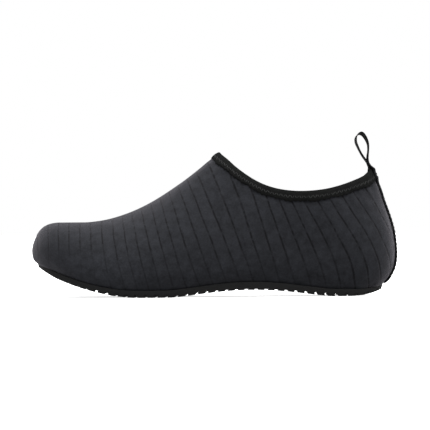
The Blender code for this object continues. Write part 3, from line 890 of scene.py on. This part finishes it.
# Close zigzag under the loop
TACK_HEIGHTS = (0.0852, 0.0874)
TACK_RISE = 0.0009
TACK_TURNS = 16

BEHIND_SHOE = 0.2  # X from which rays look for the tape's face


def dress_tape():
    tape = piece_from("heel_pull_tape", "heel_webbing", "pull_tape_webbing")
    rounded(tape, 2)
    tape.data.materials.append(
        woven_band("black_webbing", WEBBING_COLOR, contrast=0.5, depth=0.00016, roughness=0.7)
    )
    points = points_of(tape)
    points -= normals_of(tape) * (LOOP_THINNED * grown(points[:, 2], *LOOP_THIN_Z))[:, None]
    closed = bell(points[:, 2], *LOOP_CLOSED_Z)
    points[:, 0] += LOOP_PRESSED * closed * np.sign(LOOP_CLOSED_X - points[:, 0])
    inner = grown(points[:, 0], *INNER_LEG_X)
    points[:, 0] += INNER_LEG_SHIFT * inner * bell(points[:, 2], *INNER_LEG_Z)
    move_points(tape, eased(points))
    above = points[:, 2] - LOOP_BEND[1]
    round_bend = LOOP_BEND_RADIUS * np.arctan2(above, np.abs(points[:, 0] - LOOP_BEND[0]))
    run = np.where(above > 0, round_bend, above)
    lay_map(tape, "band", points[:, 1] / WEBBING_YARN[0], run / WEBBING_YARN[1])
    tape.data.shade_smooth()
    return tape


def sew_tape(tape, thread):
    """Two rows of stitches down the tape, and a close zigzag where the loop leaves the collar."""
    forward = Vector((-1.0, 0.0, 0.0))

    def on_tape(y, z):
        _, place, out, _ = tape.ray_cast(Vector((BEHIND_SHOE, y, z)), forward)
        return place + out * THREAD / 2, out

    places = []
    top, bottom = TAPE_SEWN
    for y in (-TAPE_HEM, TAPE_HEM):
        for index in range(round((top - bottom) / TAPE_STITCH)):
            start, out = on_tape(y, top - index * TAPE_STITCH)
            end, _ = on_tape(y, top - (index + STITCH_SHARE) * TAPE_STITCH)
            places.append(stitch_place(start, end, out))
    sew("heel_stitches", "pull_tape_webbing", one_stitch(TAPE_STITCH * STITCH_SHARE), places, thread)
    places = []
    for height in TACK_HEIGHTS:
        for index in range(TACK_TURNS):
            corners = []
            for number in (index, index + 1):
                y = TAPE_HEM * (2 * number / TACK_TURNS - 1)
                corners.append(on_tape(y, height + (TACK_RISE if number % 2 else -TACK_RISE))[0])
            places.append(stitch_place(*corners, on_tape(0.0, height)[1]))
    length = (corners[1] - corners[0]).length
    sew("loop_bar_tack", "pull_tape_webbing", one_stitch(length), places, thread)


# Outsole

# The rim stands out with the cloth behind the heel and at the toe
HEEL_RIM = 0.0013
HEEL_RIM_X = (0.108, 0.116)  # begins, whole
HEEL_RIM_Z = (0.0074, 0.0014)  # middle and half height
TOE_RIM = 0.0008
TOE_RIM_X = (-0.112, -0.122)  # begins, whole
TOE_RIM_Z = (0.0215, 0.0235)

SOLE_BEVEL = 0.00032


def dress_outsole():
    outsole = piece_from("outsole", "rubber_outsole", "outsole_rubber")
    open_mesh(outsole)
    bpy.ops.mesh.dissolve_limited(angle_limit=radians(1.5))
    close_mesh()
    points = points_of(outsole)
    x, z = points[:, 0], points[:, 2]
    points[:, 0] += HEEL_RIM * grown(x, *HEEL_RIM_X) * bell(z, *HEEL_RIM_Z)
    points[:, 0] -= TOE_RIM * grown(x, *TOE_RIM_X) * grown(z, *TOE_RIM_Z)
    move_points(outsole, points)
    apply_modifier(
        outsole, "BEVEL", width=SOLE_BEVEL, segments=2, limit_method="ANGLE", angle_limit=radians(38)
    )
    outsole.data.materials.append(sole_rubber())
    pick(outsole)
    bpy.ops.object.shade_smooth_by_angle(angle=radians(45))


# Scene

WHITE = (1.0, 1.0, 1.0)

FLOOR_SEEN = 0.92  # how light the floor is to the camera
FLOOR_FELT = 0.30  # and to the shoe
FLOOR_GLOW = 0.8  # share of this that it gives out by itself

ROOM_COLOR = (0.98, 0.99, 1.0)
ROOM_STRENGTH = 0.50

SEEN_WIDTH = 0.3096  # by the camera, at the shoe
CAMERA_DISTANCE = 2.8
CAMERA_HEIGHT = 0.0585
CAMERA_ROLL = 0.41  # in degrees
SENSOR = 36.0  # in millimetres


def make_floor():
    """A white floor, lighter to the camera than to the shoe, so that the shoe's underside stays dark."""
    bpy.ops.mesh.primitive_circle_add(vertices=96, radius=9.0, fill_type="NGON", location=(0, 0, 0))
    floor = bpy.context.object
    floor.name = "pale_floor"
    made, tree, surface = material(
        "pale_floor_paint", Roughness=0.9, Specular_IOR_Level=0.1, Emission_Color=WHITE
    )
    tone = ramp(tree, noise(tree, object_point(tree), scale=400.0), 0.3, 0.7, low=0.985)
    by_camera = put(tree, "ShaderNodeLightPath").outputs["Is Camera Ray"]
    seen = calc(tree, "MULTIPLY_ADD", by_camera, FLOOR_SEEN - FLOOR_FELT, FLOOR_FELT)
    feed(tree, surface.inputs["Base Color"], brighten(tree, WHITE, calc(tree, "MULTIPLY", tone, seen)))
    feed(tree, surface.inputs["Emission Strength"], calc(tree, "MULTIPLY", seen, FLOOR_GLOW))
    floor.data.materials.append(made)


def make_light(name, toward, width, strength):
    """A broad soft light that is as bright all over the floor, from one direction."""
    data = bpy.data.lights.new(name, "SUN")
    data.angle = width
    data.energy = strength
    light = bpy.data.objects.new(name, data)
    scene.collection.objects.link(light)
    light.rotation_euler = Vector(toward).to_track_quat("Z", "Y").to_euler()


def make_studio():
    """A white wall to the camera, an even dim room to the shoe, and two soft lights."""
    world = bpy.data.worlds.new("white_room")
    world.use_nodes = True
    tree = world.node_tree
    room = put(tree, "ShaderNodeBackground", Color=ROOM_COLOR, Strength=ROOM_STRENGTH)
    wall = tree.nodes["Background"]
    feed(tree, wall.inputs["Color"], WHITE)
    feed(tree, wall.inputs["Strength"], 1.0)
    either = tree.nodes.new("ShaderNodeMixShader")
    tree.links.new(put(tree, "ShaderNodeLightPath").outputs["Is Camera Ray"], either.inputs[0])
    tree.links.new(room.outputs[0], either.inputs[1])
    tree.links.new(wall.outputs[0], either.inputs[2])
    tree.links.new(either.outputs[0], tree.nodes["World Output"].inputs["Surface"])
    scene.world = world
    make_light("overhead_softbox", (0.05, -0.12, 1.0), width=radians(70), strength=5.0)
    make_light("softbox_behind_heel", (1.0, -0.05, 0.35), width=radians(40), strength=0.7)
    scene.view_settings.view_transform = "Standard"
    scene.view_settings.look = "None"


def make_camera():
    """Level with the shoe, from its outer side, through a long lens, turned a little as in the photo."""
    data = bpy.data.cameras.new("side_camera")
    data.sensor_width = SENSOR
    data.lens = SENSOR * CAMERA_DISTANCE / SEEN_WIDTH
    data.clip_start, data.clip_end = 0.1, 50.0
    camera = bpy.data.objects.new("side_camera", data)
    scene.collection.objects.link(camera)
    camera.location = (0.0, -CAMERA_DISTANCE, CAMERA_HEIGHT)
    camera.rotation_euler = (pi / 2, radians(CAMERA_ROLL), 0.0)
    scene.camera = camera


make_camera()
make_studio()
make_floor()
dress_upper()
dress_insole()
dress_binding()
tape = dress_tape()
dress_outsole()
thread = sewing_thread()
sew_collar(thread)
sew_tape(tape, thread)
